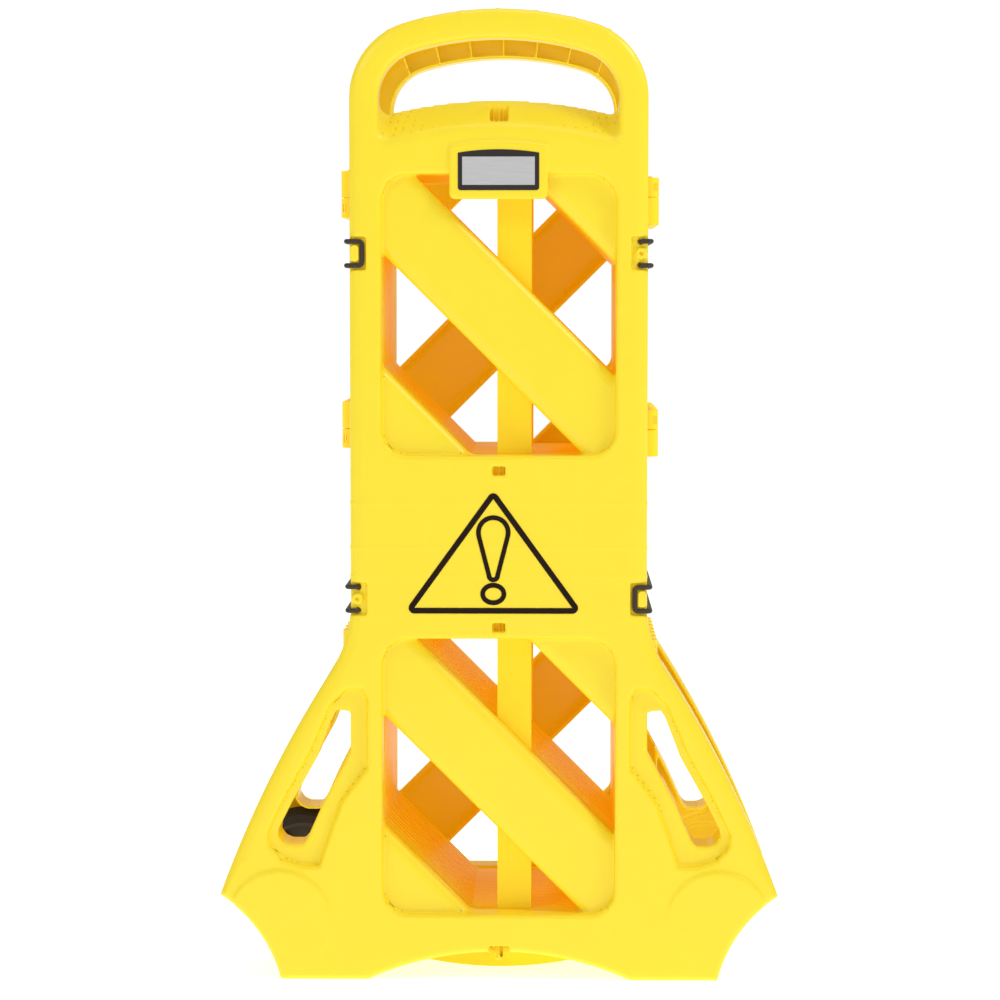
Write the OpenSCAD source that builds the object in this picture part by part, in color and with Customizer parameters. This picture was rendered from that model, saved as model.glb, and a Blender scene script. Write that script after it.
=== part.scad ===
// Folding crowd control barrier: two end stands with an accordion of linked panels between them.
// Millimetres. Z is up, the front face looks towards -Y, the origin is on the floor under the middle.

/* [End stands] */
// Height of an end stand, floor to the crown of its handle
stand_h = 1016; // [860:1:1200]
// Width across the two toes of a stand
foot_span = 588; // [520:1:680]
// Width of the upright
upright_w = 310; // [300:1:330]
// Depth of the upright, front face to back edge
stand_t = 34; // [30:0.5:44]
// Depth of a leg box
leg_t = 60; // [52:0.5:72]
// Wall thickness of the stand moulding
stand_wall = 3; // [2.4:0.1:4]
// How far the braces sit behind the stand's face
stand_recess = 11; // [6:0.5:14]
// Thickness of the handle rim, outer edge to grip opening
grip_rim = 30; // [26:0.5:36]
// Height of the arch under the stand
arch_rise = 30; // [20:1:36]

/* [Panels] */
// Distance from hinge line to hinge line across one panel
hinge_span = 312; // [300:1:326]
// Height of a panel between the crowns of its two curved ends
panel_h = 908; // [760:1:960]
// Distance from one folded panel to the next
pitch = 17; // [15:0.25:20]
// Gap between two folded panels
fold_gap = 1.3; // [0.8:0.1:2]
// Wall thickness of the panel moulding
panel_wall = 2.5; // [2:0.1:3]
// How far a panel's braces sit behind its face
panel_recess = 4; // [2:0.5:6]
// Radius of a panel's curved ends
end_radius = 386; // [300:1:600]
// Lowest point of the panels above the floor
panel_lift = 4; // [4:1:20]

/* [Windows and braces] */
// Width of a window
window_w = 244; // [220:1:250]
// Height of a window
window_h = 292; // [240:1:310]
// Distance of a window's centre from the middle of the panel
window_rise = 242; // [200:1:260]
// Corner radius of a window
window_r = 28; // [10:1:40]
// Width of the diagonal brace
brace_w = 81; // [60:1:90]
// Distance from the middle of the brace to the corner gussets
gusset_reach = 124; // [110:1:140]

/* [Hinges] */
// Radius of a panel hinge barrel
barrel_r = 11.5; // [9:0.25:12.5]
// Height of a plain knuckle
knuckle_h = 28; // [20:1:34]
// Height of a windowed knuckle
window_knuckle_h = 20; // [16:1:26]
// Radius of a hinge pin
pin_r = 3; // [2:0.1:4]
// Radial clearance round a hinge pin
pin_clear = 0.06; // [0.02:0.01:0.1]
// Space from a stand to the first panel, which holds a half link
link_slot = 16; // [15:0.25:20]
// Width of a half link's upright along its centre hinge
stile_w = 34; // [24:1:40]

/* [Elastic loops] */
// Diameter of the elastic cord
cord_d = 5.2; // [4:0.1:6]
// Distance between the two arms of a loop
loop_gap = 25; // [20:1:30]
// Height of the upper pair of loops
upper_loop_z = 764; // [740:1:780]
// Height of the lower pair of loops
lower_loop_z = 404; // [392:1:420]

/* [Wheel] */
// Diameter of the tyre
wheel_d = 132; // [100:1:132]
// Width of the tyre
wheel_w = 36; // [24:1:40]
// Distance of the axle from the middle of the stand
axle_x = 227; // [224:1:230]
// Height of the axle
axle_z = 70; // [68:1:70]
// Radius of the axle
axle_r = 6; // [4:0.1:8]
// Radial clearance round the axle
axle_clear = 0.06; // [0.02:0.01:0.1]

/* [Hidden] */
$fn = 96;
panel_count = 12;
// Where two arcs run into each other, one is moved by this much so that they cross cleanly
lap = 0.3;

total_t = 2 * stand_t + 2 * link_slot + panel_count * pitch;
panel_t = pitch - fold_gap;
panel_mid = panel_lift + panel_h / 2;
hinge_x = hinge_span / 2;
body_w = hinge_span - 2 * (barrel_r + 1.5);
link_t = link_slot - 2.6;
link_barrel_r = (link_slot - 1.6) / 2;
link_axis_y = stand_t + link_slot / 2;
stations = [-0.402 * panel_h, -0.134 * panel_h, 0.134 * panel_h, 0.402 * panel_h];
window_centres = [panel_mid - window_rise, panel_mid + window_rise];

// Crown of the handle: two shoulder arcs and one wide arc that meets them smoothly
shoulder_r = 80;
shoulder_x = upright_w / 2 - shoulder_r;
shoulder_z = stand_h - 91;
crown_drop = stand_h - shoulder_z;
lapped_r = shoulder_r - lap;
crown_r = (shoulder_x * shoulder_x + crown_drop * crown_drop - lapped_r * lapped_r)
    / (2 * (crown_drop - lapped_r));

// Angle from one rib of the hollow handle to the next
rib_angle = 6.6;

// Flare of the leg: a wide convex arc from the toe up to the knee
toe_z = 90;
knee = [upright_w / 2 + 22, 326];
flare_r = 1190;
toe = [foot_span / 2, toe_z];
flare_chord = norm(knee - toe);
flare_dir = (knee - toe) / flare_chord;
flare_c = (toe + knee) / 2 + sqrt(flare_r * flare_r - flare_chord * flare_chord / 4)
    * [-flare_dir[1], flare_dir[0]];
knee_r = 132;
knee_c = [upright_w / 2 + knee_r,
    flare_c[1] + sqrt(pow(flare_r + knee_r - lap, 2) - pow(upright_w / 2 + knee_r - flare_c[0], 2))];
toe_cut_r = 150;
foot_x = foot_span / 2 - 63.5;
toe_chord = norm([foot_x, 2] - toe);
toe_dir = ([foot_x, 2] - toe) / toe_chord;
toe_cut_c = (toe + [foot_x, 2]) / 2 + sqrt(toe_cut_r * toe_cut_r - toe_chord * toe_chord / 4)
    * [-toe_dir[1], toe_dir[0]];
boss_x = foot_span / 2 - 63;
boss_z = 62;
arch_half = 138;
arch_r = (arch_half * arch_half + arch_rise * arch_rise) / (2 * arch_rise);

// The beam under the handle has a curved top that slopes forward
beam_top = shoulder_z;
beam_r = 478;
beam_slope = 31;

// Window in the leg, a slanted slot beside the upright
edge_x = upright_w / 2;
leg_window = [[edge_x + 1, 284], [edge_x + 15, 286], [edge_x + 20, 278], [edge_x + 36, 236],
    [edge_x + 64, 186], [edge_x + 77, 160], [edge_x + 78, 152], [edge_x + 73, 145],
    [edge_x + 66, 142], [edge_x + 53, 142], [edge_x + 48, 147], [edge_x + 31, 185],
    [edge_x + 1, 242]];
leg_scoop = [[edge_x - 17, 300], [edge_x - 11, 310], [edge_x + 4, 309], [edge_x + 22, 292],
    [edge_x + 42, 244], [edge_x + 72, 190], [edge_x + 88, 156], [edge_x + 87, 143],
    [edge_x + 74, 128], [edge_x + 52, 121], [edge_x + 34, 121], [edge_x + 28, 140],
    [edge_x + 10, 190], [edge_x - 17, 226]];
leg_box_x = hinge_x + barrel_r + 7;

// Hinge stations on the stand's centre line: the stand's lugs, and the link knuckle beside each
lug_h = 20;
// Width of the neck between a lug's barrel and the stand, narrow enough for the link to turn
lug_neck = 6.4;
link_knuckle_h = 24;
lug_z = [30, panel_mid - 84, panel_mid + 80, shoulder_z - 17];
lug_dir = [1, 1, -1, -1];
clip_w = [22, 13.4, 13.4, 19];
clip_h = [14, 9.6, 9.6, 15];
clip_t = [15, 15, 15, 27];

// Elastic loops
cord_r = cord_d / 2;
pocket_t = cord_d + 1;
cord_y = pocket_t - cord_r - 0.2;
cord_x = upright_w / 2 + cord_r + 0.7;
hook_x = upright_w / 2 - 13;
anchor_x = upright_w / 2 - 8;
loops = [["upper", upper_loop_z], ["lower", lower_loop_z]];

// Wheel parts, measured from the outer face of the rear stand
bush_r = axle_r + 3;
hub_r = wheel_d / 2 - 14;
wheel_y = 16;
// Depth of the front of the wheel's room, just behind the floor of the scoop
wheel_room_y = 13;
axle_end = wheel_y + wheel_w + 6;

// Extrudes an outline drawn as X and Z from depth y0 to depth y1
module slab(y0, y1) {
    translate([0, y1, 0]) rotate([90, 0, 0]) linear_extrude(y1 - y0) children();
}

// Both halves of something drawn on the +X side
module both_sides() {
    children();
    mirror([1, 0, 0]) children();
}

// Moves each corner of a clockwise outline outwards by t
function unit(v) = v / norm(v);
function grown(p, t) = [for (i = [0 : len(p) - 1])
    let (
        a = unit(p[i] - p[(i + len(p) - 1) % len(p)]),
        b = unit(p[(i + 1) % len(p)] - p[i]),
        n = [-a[1], a[0]],
        m = [-b[1], b[0]]
    )
    p[i] + t * (n + m) / (1 + n * m)];

// ---- Windows, braces and gussets, shared by the stands and the panels ----

// Window opening grown by t
module window_shape(t) {
    w = window_w + 2 * t;
    h = window_h + 2 * t;
    r = window_r + t;
    square([w, h - 2 * r], center = true);
    square([w - 2 * r, h], center = true);
    for (x = [-1, 1], z = [-1, 1])
        translate([x * (w / 2 - r), z * (h / 2 - r)]) circle(r);
}

// The two slanted gaps that a window leaves beside its brace, grown by t
module gap_shape(t) {
    intersection() {
        window_shape(t);
        for (side = [0, 180])
            rotate(45 + side) translate([brace_w / 2 - t, -window_h])
                square([gusset_reach - brace_w / 2 + 2 * t, 2 * window_h]);
    }
}

// The same shape in each of the two windows
module in_windows() {
    for (z = window_centres) translate([0, z]) children();
}

// ---- End stand ----

module handle_outline(t) {
    r = shoulder_r - t;
    tangent_x = (crown_r - t) * shoulder_x / (crown_r - shoulder_r);
    for (x = [-1, 1]) translate([x * shoulder_x, shoulder_z]) circle(r);
    translate([-shoulder_x, shoulder_z]) square([2 * shoulder_x, r]);
    intersection() {
        translate([0, stand_h - crown_r]) circle(crown_r - t, $fn = 180);
        translate([-tangent_x, shoulder_z]) square([2 * tangent_x, 2 * shoulder_r]);
    }
}

// Leg on the +X side, inset by t
module leg_outline(t) {
    difference() {
        union() {
            intersection() {
                translate(flare_c) circle(flare_r - t, $fn = 360);
                translate([0, t]) square([foot_span, knee[1] + 20 - t]);
            }
            difference() {
                polygon([[0, knee_c[1]], knee_c,
                    flare_c + (flare_r - t) * unit(knee_c - flare_c), [0, knee[1] - 20]]);
                translate(knee_c) circle(knee_r + t);
            }
        }
        translate(toe_cut_c) circle(toe_cut_r + t);
        translate([0, arch_rise - arch_r]) circle(arch_r + t, $fn = 180);
    }
}

// Whole outline of the stand, inset by t
module stand_outline(t) {
    handle_outline(t);
    translate([-upright_w / 2 + t, knee[1] - 10])
        square([upright_w - 2 * t, shoulder_z - knee[1] + 10]);
    both_sides() leg_outline(t);
}

// Grip opening in the handle, grown by t
module grip_opening(t) {
    difference() {
        handle_outline(grip_rim - t);
        translate([0, beam_top - beam_r]) circle(beam_r - t, $fn = 180);
    }
}

// Cone whose side is the top of the beam, smaller by t, about an axis along Y
module beam_cone(t) {
    translate([0, 0, beam_top - beam_r]) rotate([-90, 0, 0])
        cylinder(r1 = beam_r - beam_slope - t, r2 = beam_r - t, h = stand_t, $fn = 180);
}

// Space between the two arms of the handle, above z0
module beam_space(y0, y1, z0) {
    half = upright_w / 2 - grip_rim - 1;
    translate([-half, y0, z0]) cube([2 * half, y1 - y0, beam_top + 2 - z0]);
}

module leg_window_shape(t) {
    polygon(grown(leg_window, t));
}

// Hinge lug number i behind the stand's centre line, and the box that carries it
module stand_lug(i) {
    z = lug_z[i];
    w = clip_w[i] / 2 + 3;
    translate([0, link_axis_y, z - lug_h / 2]) cylinder(r = link_barrel_r, h = lug_h);
    translate([-lug_neck / 2, clip_t[i], z - lug_h / 2])
        cube([lug_neck, link_axis_y - clip_t[i], lug_h]);
    translate([-w, 0, z - lug_h / 2]) cube([2 * w, clip_t[i] + 4, lug_h]);
}

// Pocket that an elastic loop wraps into, at the upright's edge on the +X side
module loop_pocket(z) {
    translate([hook_x - cord_r - 1.5, -1, z - loop_gap / 2 - cord_r - 2])
        cube([40, pocket_t + 1, loop_gap + cord_d + 4]);
}

// Hook tab that holds the free end of a loop, on the +X side
module loop_hook(z) {
    translate([hook_x + cord_r + 0.6, 0, z - loop_gap / 2 + cord_r + 1.2]) {
        cube([9.2, pocket_t + 1, loop_gap - cord_d - 2.4]);
    }
}

// Knob that the fixed end of a loop passes round, on the +X side
module loop_knob(z) {
    translate([anchor_x + 1, pocket_t + 1, z]) rotate([90, 0, 0]) difference() {
        cylinder(r = 6, h = pocket_t + 0.5);
        translate([0, 0, 2]) cylinder(r = 2.2, h = pocket_t);
    }
}

module loop_holes(z) {
    for (s = [-1, 1])
        translate([anchor_x, -1, z + s * loop_gap / 2]) rotate([-90, 0, 0])
            cylinder(r = cord_r + 0.4, h = stand_t);
}

// The stand's own frame has its front face at y = 0 and its hollow back towards +Y
module stand_shell(has_wheel) {
    difference() {
        union() {
            // Face
            slab(0, stand_wall) difference() {
                stand_outline(0);
                in_windows() window_shape(0);
                both_sides() leg_window_shape(0);
                grip_opening(0);
            }
            // Outer wall, grip wall and window rims
            slab(0, stand_t) {
                difference() {
                    stand_outline(0);
                    stand_outline(stand_wall);
                }
                difference() {
                    intersection() {
                        grip_opening(stand_wall);
                        stand_outline(0);
                    }
                    grip_opening(0);
                }
                difference() {
                    both_sides() intersection() {
                        leg_window_shape(stand_wall);
                        square([leg_box_x, stand_h]);
                    }
                    both_sides() leg_window_shape(0);
                }
            }
            slab(0, stand_recess + stand_wall) difference() {
                in_windows() window_shape(stand_wall);
                in_windows() window_shape(0);
            }
            // Brace and gussets, set back behind the face, and the walls along their edges
            slab(stand_recess, stand_recess + stand_wall) in_windows() difference() {
                window_shape(stand_wall);
                gap_shape(0);
            }
            slab(stand_recess, stand_t) in_windows() difference() {
                gap_shape(stand_wall);
                gap_shape(0);
            }
            // Deep walls of the leg boxes, clear of the folded panels
            slab(0, leg_t) both_sides() intersection() {
                translate([leg_box_x, 0]) square([foot_span, knee[1] + 60]);
                union() {
                    difference() {
                        leg_outline(0);
                        leg_outline(stand_wall);
                    }
                    difference() {
                        leg_window_shape(stand_wall);
                        leg_window_shape(0);
                    }
                    intersection() {
                        leg_outline(0);
                        difference() {
                            translate([leg_box_x, 0]) square([stand_wall, 206]);
                            leg_window_shape(0);
                        }
                    }
                }
            }
            // Floors of the loop pockets
            for (s = loops)
                both_sides() translate([hook_x - cord_r - 4, 0, s[1] - loop_gap / 2 - 8])
                    cube([edge_x - hook_x + cord_r + 4, pocket_t + 3, loop_gap + 16]);
            // Floors of the leg scoops
            slab(0, 9 + stand_wall) both_sides() difference() {
                intersection() {
                    polygon(grown(leg_scoop, stand_wall));
                    stand_outline(0);
                }
                leg_window_shape(0);
            }
            // Ribs across the hollow of the handle
            slab(0, stand_t - 6) intersection() {
                handle_outline(0);
                translate([0, stand_h - crown_r]) for (a = [-3.5 : 3.5]) rotate(a * rib_angle)
                    translate([-1, crown_r - grip_rim - 1]) square([2, grip_rim + 1]);
            }
            // Ribs behind the sign panel and across the legs
            for (x = [-80, -40, 40, 80])
                translate([x - 1, 0, panel_mid - 92]) cube([2, stand_t - 8, 184]);
            for (z = [-30, 0, 46])
                translate([-edge_x + 1, 0, panel_mid + z]) cube([upright_w - 2, stand_t - 12, 2]);
            for (i = [0 : 3]) stand_lug(i);
            // Sloping top of the beam and the two cheeks that close its ends
            difference() {
                intersection() {
                    beam_cone(0);
                    beam_space(0, stand_t, beam_top - 70);
                }
                beam_cone(stand_wall);
            }
            slab(0, stand_t) both_sides()
                translate([upright_w / 2 - grip_rim - 1, beam_top - 60]) square([3, 50]);
            // Round bosses on the feet, proud at the top and flush at the bottom
            intersection() {
                both_sides() translate([boss_x, 3, boss_z]) rotate([90 + 1.4, 0, 0])
                    cylinder(r = 55, h = 4.4);
                slab(-5, 3) stand_outline(0);
            }
            if (has_wheel)
                translate([axle_x, 0, axle_z]) rotate([-90, 0, 0])
                    cylinder(r = axle_r + 6, h = wheel_y - 1);
        }
        // Space above the sloping top of the beam
        difference() {
            beam_space(-1, stand_t, beam_top - 60);
            beam_cone(0);
        }
        slab(-5, stand_t + 1) in_windows() gap_shape(0);
        slab(-1, leg_t + 1) both_sides() leg_window_shape(0);
        slab(-1, 9) both_sides() polygon(leg_scoop);
        // Clip windows in front of the hinge lugs
        for (i = [0 : 3]) translate([-clip_w[i] / 2, -1, lug_z[i] - clip_h[i] / 2])
            cube([clip_w[i], clip_t[i] + 1, clip_h[i] + (i == 3 ? 20 : 0)]);
        // Pins of the centre hinge
        for (z = lug_z)
            translate([0, link_axis_y, z - lug_h]) cylinder(r = pin_r + pin_clear, h = 2 * lug_h);
        // Loop pockets and the two holes of each fixed end
        for (s = loops) both_sides() loop_pocket(s[1]);
        loop_holes(upper_loop_z);
        mirror([1, 0, 0]) loop_holes(lower_loop_z);
        if (has_wheel) {
            translate([axle_x, wheel_room_y, axle_z]) rotate([-90, 0, 0]) difference() {
                cylinder(r = wheel_d / 2 + 2, h = leg_t);
                translate([0, 0, -1]) cylinder(r = axle_r + 6, h = wheel_y - wheel_room_y);
            }
            translate([axle_x, 1.5, axle_z]) rotate([-90, 0, 0])
                cylinder(r = axle_r + axle_clear, h = leg_t);
        }
    }
    // Raised plate that carries the label, standing over the top of the front stand's window
    if (!has_wheel) translate([0, 0, shoulder_z - 75]) slab(-3, stand_wall) label_plate();
    mirror([1, 0, 0]) loop_hook(upper_loop_z);
    loop_hook(lower_loop_z);
    loop_knob(upper_loop_z);
    mirror([1, 0, 0]) loop_knob(lower_loop_z);
}

module label_plate() {
    difference() {
        union() {
            square([102, 48], center = true);
            square([90, 60], center = true);
            for (x = [-1, 1], z = [-1, 1]) translate([45 * x, 24 * z]) circle(6);
        }
        difference() {
            translate([-60, 10]) square([120, 40]);
            translate([0, 30 - 260]) circle(260, $fn = 180);
        }
    }
}

// Places something drawn in a stand's own frame
module at_front() {
    translate([0, -total_t / 2, 0]) children();
}

module at_rear() {
    rotate([0, 0, 180]) translate([0, -total_t / 2, 0]) children();
}

// ---- Warning symbol and blank label ----

// Ring between a triangle with round corners and the same triangle made smaller
module round_triangle(half, rise, r) {
    for (p = [[-half, 0], [half, 0], [0, rise]]) translate(p) circle(r);
    polygon([[-half, -r], [half, -r], [half, 0], [0, rise], [-half, 0]]);
    slope = unit([rise, half]);
    for (s = [-1, 1])
        polygon([[s * half, 0], [s * (half + r * slope[0]), r * slope[1]],
            [s * r * slope[0], rise + r * slope[1]], [0, rise]]);
}

module drop_shape(t) {
    translate([0, 57]) circle(15 + t);
    translate([0, 12]) circle(4 + t);
    polygon([[-4 - t, 12], [4 + t, 12], [14.8 + t, 54], [-14.8 - t, 54]]);
}

module sign() {
    translate([-5.5, 0, panel_mid - 63])
        slab(-0.5, 0) {
            difference() {
                round_triangle(82.5, 114, 6);
                polygon([[-82.5, 0], [82.5, 0], [0, 114]]);
            }
            translate([0, 22]) difference() {
                drop_shape(3);
                drop_shape(-2);
            }
            translate([0, 14.6]) difference() {
                scale([1.16, 1]) circle(11.7);
                scale([1.3, 1]) circle(6.6);
            }
        }
}

module label() {
    translate([0, 0, shoulder_z - 75]) slab(-3.6, -3) {
        difference() {
            union() {
                square([84, 36], center = true);
                square([78, 42], center = true);
                for (x = [-1, 1], z = [-1, 1]) translate([39 * x, 18 * z]) circle(3);
            }
            difference() {
                translate([-60, 6]) square([120, 40]);
                translate([0, 21 - 260]) circle(260, $fn = 180);
            }
        }
    }
}

// ---- Full panel, drawn about its own middle with its face at y = 0 ----

module panel_outline(t) {
    half_h = panel_h / 2;
    for (side = [0, 180]) rotate(side) intersection() {
        translate([0, half_h - end_radius]) circle(end_radius - t, $fn = 180);
        translate([-body_w / 2 + t, 0]) square([body_w - 2 * t, half_h]);
    }
    translate([-body_w / 2 + t, -half_h / 2]) square([body_w - 2 * t, half_h]);
}

module panel_windows() {
    for (z = [-window_rise, window_rise]) translate([0, z]) children();
}

// One knuckle at hinge line x, from height z0, with its arm back to the panel's edge
module knuckle(x, y, z0, h, thick, windowed) {
    side = sign_of(x);
    difference() {
        union() {
            translate([x, y, z0]) cylinder(r = barrel_r, h = h);
            translate([min(x, side * (body_w / 2 - 1)), thick[0], z0])
                cube([abs(x - side * (body_w / 2 - 1)), thick[1] - thick[0], h]);
        }
        translate([x, y, z0 - 1]) cylinder(r = pin_r + pin_clear, h = h + 2);
        if (windowed)
            translate([x + side * (barrel_r - 4) - 2, y - barrel_r - 1, z0 + h / 2 - 4])
                cube([4, 2 * barrel_r + 2, 8]);
    }
}

function sign_of(x) = x < 0 ? -1 : 1;

// The hinge lines lie in the planes midway between folded panels: the left one behind this
// moulding's back, and the right one in front of its face
module panel_moulding() {
    left_y = panel_t + fold_gap / 2;
    right_y = -fold_gap / 2;
    difference() {
        union() {
            slab(0, panel_wall) difference() {
                panel_outline(0);
                panel_windows() window_shape(0);
            }
            slab(0, panel_t) difference() {
                panel_outline(0);
                panel_outline(panel_wall);
            }
            slab(0, panel_recess + panel_wall) difference() {
                panel_windows() window_shape(panel_wall);
                panel_windows() window_shape(0);
            }
            slab(panel_recess, panel_recess + panel_wall) panel_windows() difference() {
                window_shape(panel_wall);
                gap_shape(0);
            }
            slab(panel_recess, panel_t) panel_windows() difference() {
                gap_shape(panel_wall);
                gap_shape(0);
            }
            for (x = [-60, 60])
                translate([x - 1, 0, -window_rise + window_h / 2])
                    cube([2, panel_t - 2, 2 * window_rise - window_h]);
        }
        for (s = stations) {
            translate([-hinge_x, left_y, s]) cylinder(r = barrel_r + 1, h = 60, center = true);
            translate([hinge_x, right_y, s]) cylinder(r = barrel_r + 1, h = 60, center = true);
        }
    }
    for (s = stations) {
        knuckle(-hinge_x, left_y, s + 0.5, knuckle_h, [0.2, panel_t - 0.2], false);
        knuckle(hinge_x, right_y, s + 0.5, window_knuckle_h, [0.2, panel_t - 0.2], true);
    }
}

// Panel number k: the even ones are turned half round in their own plane
module panel(k) {
    y = -total_t / 2 + stand_t + link_slot + (k - 1) * pitch + fold_gap / 2;
    color("#f3de38") translate([0, y, panel_mid]) rotate([0, k % 2 == 0 ? 180 : 0, 0])
        panel_moulding();
}

// ---- Half link ----

module half_link(rear) {
    z0 = 22;
    z1 = shoulder_z - 32;
    outer = body_w / 2;
    y0 = link_axis_y - link_t / 2;
    y1 = link_axis_y + link_t / 2;
    y_hinge = stand_t + link_slot;
    difference() {
        union() {
            slab(y0, y0 + panel_wall) difference() {
                translate([-2, z0]) square([outer + 2, z1 - z0]);
                link_gaps(0);
            }
            slab(y0, y1) difference() {
                translate([-2, z0]) square([outer + 2, z1 - z0]);
                translate([-2 + panel_wall, z0 + panel_wall])
                    square([outer + 2 - 2 * panel_wall, z1 - z0 - 2 * panel_wall]);
            }
            slab(y0, y1) difference() {
                link_gaps(panel_wall);
                link_gaps(0);
            }
        }
        for (i = [0 : 3])
            translate([0, link_axis_y, lug_z[i] + lug_dir[i] * 12])
                cylinder(r = link_barrel_r + 0.8, h = 52, center = true);
        for (s = stations)
            translate([hinge_x, y_hinge, panel_mid + s])
                cylinder(r = barrel_r + 1, h = 60, center = true);
    }
    for (i = [0 : 3]) {
        from = lug_dir[i] > 0 ? lug_h / 2 + 1 : -lug_h / 2 - 1 - link_knuckle_h;
        translate([0, link_axis_y, lug_z[i] + from]) difference() {
            union() {
                cylinder(r = link_barrel_r, h = link_knuckle_h);
                translate([0, -link_t / 2 + 0.2, 0]) cube([14, link_t - 0.4, link_knuckle_h]);
            }
            translate([0, 0, -1]) cylinder(r = pin_r + pin_clear, h = link_knuckle_h + 2);
        }
    }
    for (s = stations)
        knuckle(hinge_x, y_hinge, panel_mid + (rear ? s + 0.5 : s - 0.5 - knuckle_h),
            rear ? window_knuckle_h : knuckle_h, [y0 + 0.2, y1], rear);
}

module link_gaps(t) {
    x0 = stile_w - t;
    w = body_w / 2 - 20 - stile_w + 2 * t;
    for (z = window_centres)
        translate([x0, z - window_h / 2 - t]) square([w, window_h + 2 * t]);
}

// ---- Hinge pins ----

module pin(x, y, z0, z1) {
    translate([x, y, z0]) cylinder(r = pin_r, h = z1 - z0);
    translate([x, y, z1]) cylinder(r = pin_r + 1.5, h = 1.5);
}

// Pins of the hinge between two folded pieces, in the plane y, on the left or the right
module side_pins(x, y) {
    for (s = stations)
        if (x < 0)
            pin(x, y, panel_mid + s - 0.5 - window_knuckle_h, panel_mid + s + 0.5 + knuckle_h);
        else
            pin(x, y, panel_mid + s - 0.5 - knuckle_h, panel_mid + s + 0.5 + window_knuckle_h);
}

module centre_pins() {
    for (i = [0 : 3]) {
        low = lug_dir[i] > 0 ? lug_z[i] - lug_h / 2 : lug_z[i] - lug_h / 2 - 1 - link_knuckle_h;
        pin(0, link_axis_y, low, low + lug_h + 1 + link_knuckle_h);
    }
}

module hinge_pins(k) {
    color("goldenrod")
        if (k == 0) at_front() centre_pins();
        else if (k == panel_count + 2) at_rear() centre_pins();
        else side_pins(k % 2 == 1 ? hinge_x : -hinge_x,
            -total_t / 2 + stand_t + link_slot + (k - 1) * pitch);
}

// ---- Elastic loops ----

// Round cord through a list of points: a ring of corners at each point, joined by triangles
function tangent(p, i) = unit(p[min(i + 1, len(p) - 1)] - p[max(i - 1, 0)]);
function ring_normals(p, i, n) =
    let (t = tangent(p, i), m = unit(n - t * (n * t)))
    i == len(p) - 1 ? [m] : concat([m], ring_normals(p, i + 1, m));

module cord(p) {
    sides = 8;
    last = len(p) - 1;
    n = ring_normals(p, 0, [1, 0, 0]);
    corners = [for (i = [0 : last])
        let (b = cross(tangent(p, i), n[i]))
        for (j = [0 : sides - 1])
            p[i] + cord_r * (cos(360 * j / sides) * n[i] + sin(360 * j / sides) * b)];
    skin = [for (i = [0 : last - 1], j = [0 : sides - 1])
        let (a = i * sides + j, b = i * sides + (j + 1) % sides)
        each [[a, a + sides, b + sides], [a, b + sides, b]]];
    ends = [[for (j = [0 : sides - 1]) j],
        [for (j = [sides - 1 : -1 : 0]) last * sides + j]];
    polyhedron(points = corners, faces = concat(skin, ends));
}

// One loop in the frame of the stand that it is fixed to, on that stand's +X side. It leaves
// the stand's holes, wraps back round the edge and ends over the far stand's hook.
module loop(z) {
    bend = 2.6;
    far = total_t - cord_y;
    rise = loop_gap / 2;
    arm = [
        [anchor_x, cord_y + 12, 0.3],
        [anchor_x, cord_y + 12, rise - 4],
        [anchor_x, cord_y + 11, rise - 1],
        [anchor_x, cord_y + 8, rise],
        [anchor_x, cord_y + 4, rise],
        [anchor_x + 1, cord_y + 1, rise],
        [anchor_x + 4, cord_y, rise],
        [cord_x - bend, cord_y, rise],
        [cord_x - 0.8, cord_y + 0.8, rise],
        [cord_x, cord_y + bend, rise],
        [cord_x, total_t / 2, rise],
        [cord_x, far - bend, rise],
        [cord_x - 0.8, far - 0.8, rise],
        [cord_x - bend, far, rise],
        [hook_x + bend, far, rise],
        [hook_x + 1.2, far, rise - 1.2],
        [hook_x, far, rise - bend],
        [hook_x, far, 0]
    ];
    back = [for (i = [len(arm) - 2 : -1 : 0]) [arm[i][0], arm[i][1], -arm[i][2]]];
    translate([0, 0, z]) cord(concat(arm, back));
}

module elastic(z, rear) {
    flip = z == lower_loop_z ? 1 : 0;
    color("#1c0d06")
        if (rear) at_rear() mirror([flip, 0, 0]) loop(z);
        else at_front() mirror([flip, 0, 0]) loop(z);
}

// ---- Wheel, in the rear stand's own frame, in the leg box on its -X side after turning ----

module at_axle() {
    at_rear() translate([axle_x, 0, axle_z]) rotate([-90, 0, 0]) children();
}

module wheel_tyre() {
    color("#15100e") at_axle() translate([0, 0, wheel_y]) difference() {
        union() {
            translate([0, 0, 3]) cylinder(r = wheel_d / 2, h = wheel_w - 6);
            cylinder(r1 = wheel_d / 2 - 3, r2 = wheel_d / 2, h = 3);
            translate([0, 0, wheel_w - 3])
                cylinder(r1 = wheel_d / 2, r2 = wheel_d / 2 - 3, h = 3);
        }
        translate([0, 0, -1]) cylinder(r = hub_r, h = wheel_w + 2);
    }
}

module wheel_hub() {
    color("#2a2523") at_axle() translate([0, 0, wheel_y]) difference() {
        cylinder(r = hub_r, h = wheel_w);
        translate([0, 0, -1]) cylinder(r = bush_r, h = wheel_w + 2);
        for (z = [-1, wheel_w - 9]) translate([0, 0, z]) difference() {
            cylinder(r = hub_r - 4, h = 10);
            translate([0, 0, -1]) cylinder(r = bush_r + 5, h = 12);
            for (a = [0 : 60 : 359]) rotate(a) translate([0, -1.5, -1]) cube([hub_r, 3, 12]);
        }
    }
}

module wheel_bush() {
    color("ivory") at_axle() translate([0, 0, wheel_y]) difference() {
        cylinder(r = bush_r, h = wheel_w);
        translate([0, 0, -1]) cylinder(r = axle_r + axle_clear, h = wheel_w + 2);
    }
}

module wheel_axle() {
    color("silver") at_axle() {
        translate([0, 0, 1.5]) cylinder(r = axle_r, h = axle_end - 1.5);
    }
}

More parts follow.
